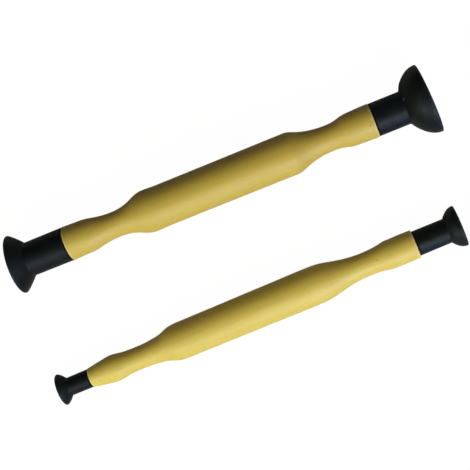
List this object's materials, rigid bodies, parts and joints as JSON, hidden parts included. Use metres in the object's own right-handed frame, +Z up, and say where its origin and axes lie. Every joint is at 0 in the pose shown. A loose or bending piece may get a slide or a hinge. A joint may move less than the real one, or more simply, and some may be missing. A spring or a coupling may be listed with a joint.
{
  "type": "valve lapping stick set",
  "caption": "Double-ended valve lapping sticks: turned light-wood handles with a black rubber suction cup pulled over each end, lying side by side.",
  "frame": {"origin": "centre of the set's footprint, on the surface that the sticks lie on", "axes": "+X along the large stick from its 30 mm cup towards its 35 mm cup, +Y from the small stick towards the large stick, +Z up"},
  "size_m": [0.226, 0.0932, 0.0349],
  "materials": {
    "wood": "clear lacquer, semi-gloss, over fine-grained light hardwood",
    "rubber": "moulded black rubber, satin"
  },
  "bodies": {
    "large_handle": {"large_handle": "wood"},
    "large_cup_35mm": {"large_cup_35mm": "rubber"},
    "large_cup_30mm": {"large_cup_30mm": "rubber"},
    "small_handle": {"small_handle": "wood"},
    "small_cup_21mm": {"small_cup_21mm": "rubber"},
    "small_cup_16mm": {"small_cup_16mm": "rubber"}
  },
  "joints": [
    {"name": "large_cup_35mm_pull", "type": "slide", "parent": "large_handle", "child": "large_cup_35mm", "axis": [0.9999, 0, 0.0104], "range_m": [0, 0.018]},
    {"name": "large_cup_30mm_pull", "type": "slide", "parent": "large_handle", "child": "large_cup_30mm", "axis": [-0.9999, 0, -0.0104], "range_m": [0, 0.02]},
    {"name": "small_cup_21mm_pull", "type": "slide", "parent": "small_handle", "child": "small_cup_21mm", "axis": [0.9998, 0.0209, 0.0065], "range_m": [0, 0.018]},
    {"name": "small_cup_16mm_pull", "type": "slide", "parent": "small_handle", "child": "small_cup_16mm", "axis": [-0.9998, -0.0209, -0.0065], "range_m": [0, 0.014]},
    {"name": "small_stick_lift", "type": "slide", "parent": "large_handle", "child": "small_handle", "axis": [0, 0, 1], "range_m": [0, 0.08]}
  ]
}
